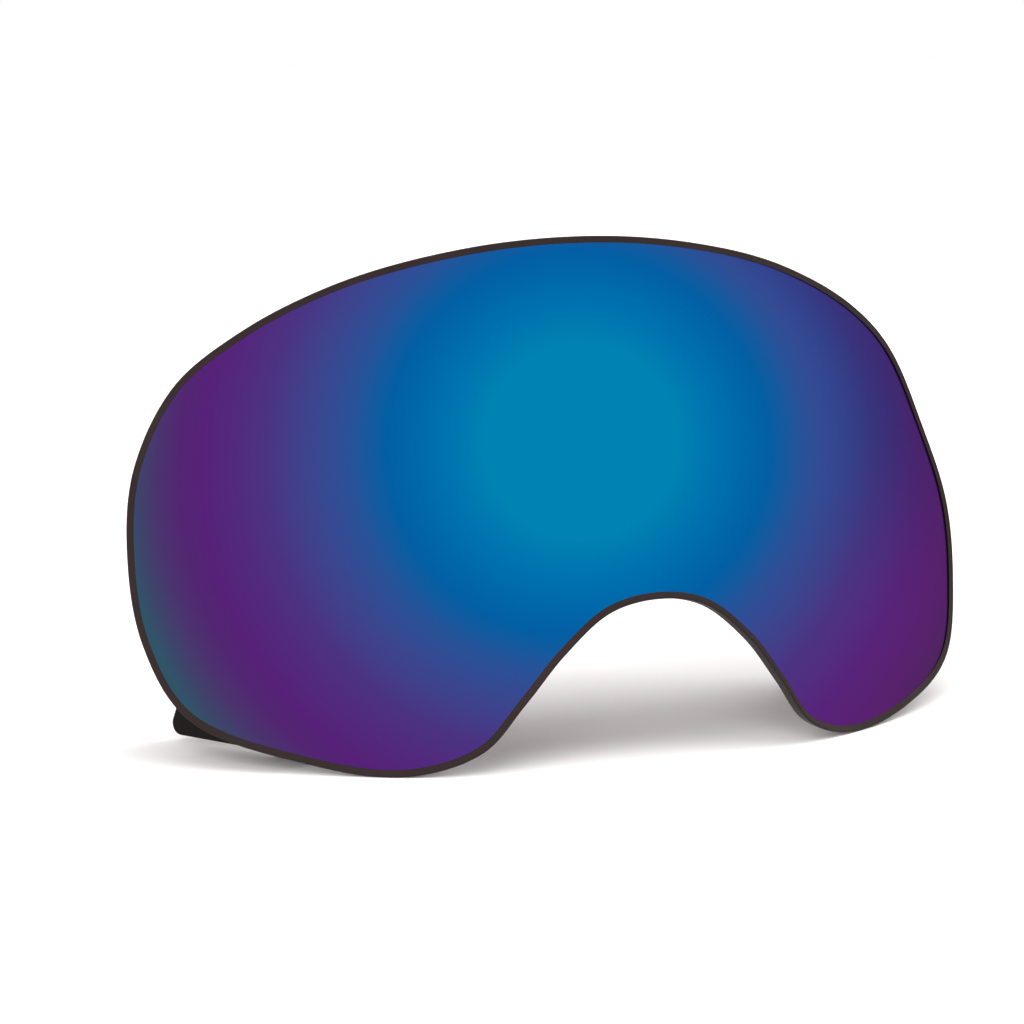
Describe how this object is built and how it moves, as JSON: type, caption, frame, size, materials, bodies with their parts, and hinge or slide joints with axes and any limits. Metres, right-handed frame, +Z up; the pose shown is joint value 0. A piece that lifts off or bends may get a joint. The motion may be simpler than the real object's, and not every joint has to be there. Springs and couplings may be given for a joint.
{
  "type": "ski goggle lens unit",
  "caption": "Spherical mirrored double lens unit for ski goggles with a soft edge trim, rear carrier with magnets and locating pegs, and a sprung latch at each temple.",
  "frame": {"origin": "middle of the bounding box, on the surface the unit stands on", "axes": "+Z up, -Y towards the front of the lens, +X to the right seen from the front; symmetric about X = 0"},
  "size_m": [0.181, 0.0619, 0.099],
  "materials": {
    "mirror_lens": "mirror-coated polycarbonate, cyan-blue in the middle, through indigo to violet at the rim",
    "edge_trim": "satin black-brown elastomer edge",
    "bond_tape": "black foam-core bonding tape",
    "carrier": "fine-textured black nylon",
    "spacer_foam": "closed-cell foam strip",
    "inner_lens": "clear anti-fog inner lens with a grey-rose tint",
    "vent_filter": "white porous membrane",
    "magnets": "nickel-plated magnet",
    "bracket": "fine-textured black nylon",
    "screws": "blackened steel",
    "pins": "ground stainless steel",
    "spring": "drawn spring wire",
    "lever": "satin near-black nylon",
    "grip": "matte soft-touch rubber"
  },
  "bodies": {
    "lens_unit": {"outer_lens": "mirror_lens", "edge_trim": "edge_trim", "bond_tape": "bond_tape", "carrier_frame": "carrier", "spacer_foam": "spacer_foam", "inner_lens": "inner_lens", "vent_filter": "vent_filter", "brow_magnets": "magnets", "cheek_magnets": "magnets", "nose_magnets": "magnets", "latch_bracket_left": "bracket", "latch_bracket_right": "bracket", "bracket_screws_left": "screws", "bracket_screws_right": "screws", "hinge_pin_left": "pins", "hinge_pin_right": "pins", "torsion_spring_left": "spring", "torsion_spring_right": "spring"},
    "lever_left": {"latch_lever_left": "lever", "lever_grip_left": "grip"},
    "lever_right": {"latch_lever_right": "lever", "lever_grip_right": "grip"}
  },
  "joints": [
    {"name": "latch_left", "type": "hinge", "parent": "lens_unit", "child": "lever_left", "pos_m": [-0.06135, 0.00522, 0.011], "axis": [0, 0, 1], "range_deg": [0, 12], "stiffness_Nm_per_rad": 0.03},
    {"name": "latch_right", "type": "hinge", "parent": "lens_unit", "child": "lever_right", "pos_m": [0.06135, 0.00522, 0.011], "axis": [0, 0, -1], "range_deg": [0, 12], "stiffness_Nm_per_rad": 0.03}
  ]
}
